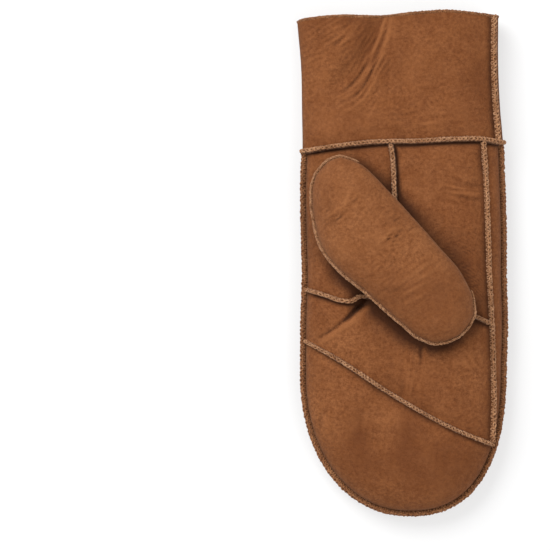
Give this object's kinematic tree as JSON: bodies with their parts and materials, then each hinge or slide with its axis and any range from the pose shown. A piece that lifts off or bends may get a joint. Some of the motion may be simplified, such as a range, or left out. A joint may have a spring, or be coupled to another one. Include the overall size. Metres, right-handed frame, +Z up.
{
  "type": "leather mitten",
  "caption": "Right-hand mitten of brown shearling leather lying palm up, with overcast outside seams, a plain cuff and the thumb laid across the palm.",
  "frame": {"origin": "on the table, under the middle of the lying mitten", "axes": "+X towards the little finger's side, +Y from the fingertips towards the cuff, +Z up out of the palm"},
  "size_m": [0.1157, 0.2782, 0.0493],
  "materials": {
    "leather": "matte nubuck",
    "overcast_seam": "matte thread over leather edges"
  },
  "bodies": {
    "root": {"cuff": "leather", "heel_thumb_side": "leather", "heel_outer_side": "leather", "palm_middle": "leather", "fingertip": "leather", "side_strip": "leather", "back_upper_thumb_side": "leather", "back_upper_outer_side": "leather", "back_lower_thumb_side": "leather", "back_lower_outer_side": "leather", "thumb": "leather", "cuff_hand_seam": "overcast_seam", "cuff_side_seam": "overcast_seam", "mouth_hem": "overcast_seam", "edge_seam": "overcast_seam", "strip_back_seam": "overcast_seam", "strip_palm_seam": "overcast_seam", "palm_centre_seam": "overcast_seam", "palm_cross_seam": "overcast_seam", "palm_diagonal_seam": "overcast_seam", "back_cross_seam": "overcast_seam", "back_centre_seam_upper": "overcast_seam", "back_centre_seam_lower": "overcast_seam", "thumb_seam": "overcast_seam"}
  },
  "joints": []
}
